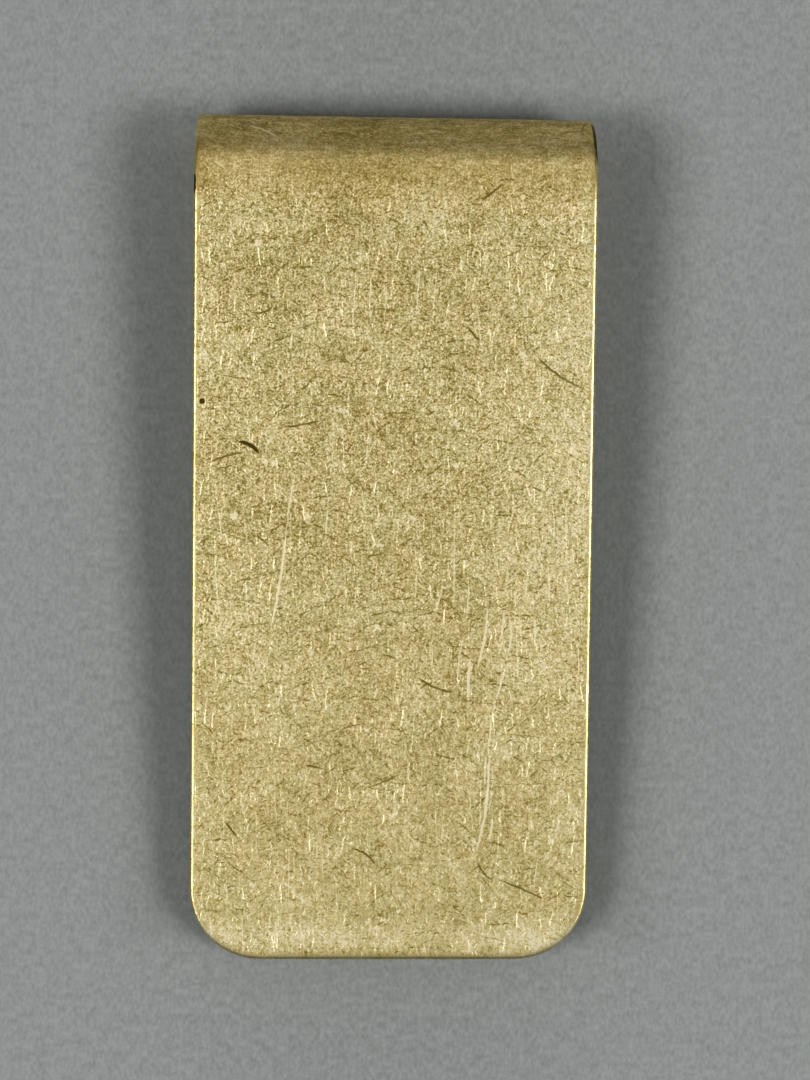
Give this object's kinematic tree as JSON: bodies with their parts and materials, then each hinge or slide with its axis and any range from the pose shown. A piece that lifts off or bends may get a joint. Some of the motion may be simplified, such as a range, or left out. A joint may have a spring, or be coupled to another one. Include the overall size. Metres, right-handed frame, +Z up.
{
  "type": "money clip",
  "caption": "Plain spring money clip: a strip of sheet brass folded into two leaves, the back one pinching the front near its tip and ending in a flared lip.",
  "frame": {"origin": "on the table under the middle of the clip, as it lies on its back leaf", "axes": "+X across the strip, +Y along the clip towards the fold, +Z up through the front leaf"},
  "size_m": [0.025, 0.053, 0.0082],
  "materials": {
    "brass": "tumbled and finely scratched, unlacquered, dull gold"
  },
  "bodies": {
    "back_half": {"fold_back_half": "brass", "back_leaf": "brass", "pinch_ridge": "brass", "lead_in_lip": "brass"},
    "front_half": {"fold_front_half": "brass", "front_leaf": "brass"}
  },
  "joints": [
    {"name": "jaw_open", "type": "hinge", "parent": "back_half", "child": "front_half", "pos_m": [0, 0.02461, 0.00417], "axis": [-1, 0, 0], "range_deg": [0, 7], "stiffness_Nm_per_rad": 5.2, "springref_deg": -0.57}
  ]
}
